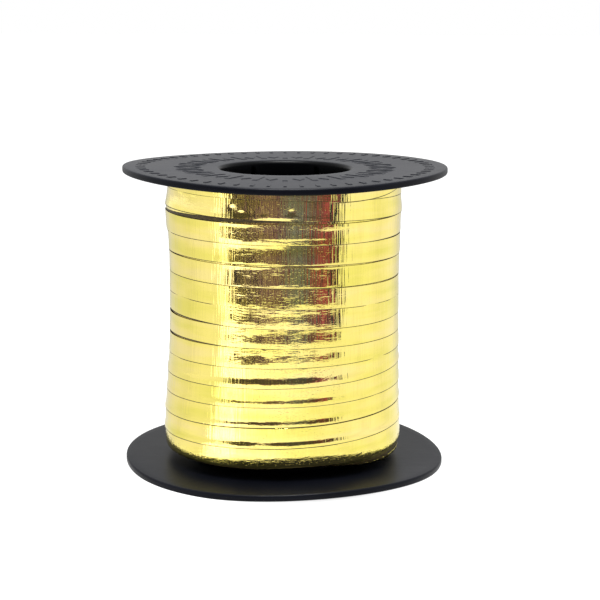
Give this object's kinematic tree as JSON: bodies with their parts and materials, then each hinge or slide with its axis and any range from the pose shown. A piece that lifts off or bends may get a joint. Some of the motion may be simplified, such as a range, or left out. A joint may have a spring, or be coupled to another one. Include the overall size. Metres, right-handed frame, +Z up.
{
  "type": "spool of curling ribbon",
  "caption": "Plastic spool of narrow metallic curling ribbon, with wide flanges and a spindle hole, for tying balloons and wrapping gifts.",
  "frame": {"origin": "centre of the bottom flange's outer face, on the surface the spool stands on", "axes": "+Z up along the spool's axis, -Y towards the front, +X to the right seen from the front; the ribbon's free end is at the back"},
  "size_m": [0.08, 0.08, 0.0738],
  "materials": {
    "spool_plastic": "satin moulded black",
    "core_plastic": "extruded black",
    "ribbon_film": "metallised gold film with fine crimps",
    "clear_tape": "clear adhesive tape"
  },
  "bodies": {
    "root": {"bottom_flange": "spool_plastic", "top_flange": "spool_plastic", "core_tube": "core_plastic", "start_tape": "clear_tape", "ribbon_pack": "ribbon_film", "ribbon_outer_layer": "ribbon_film", "ribbon_tail": "ribbon_film", "tail_tape": "clear_tape"}
  },
  "joints": []
}
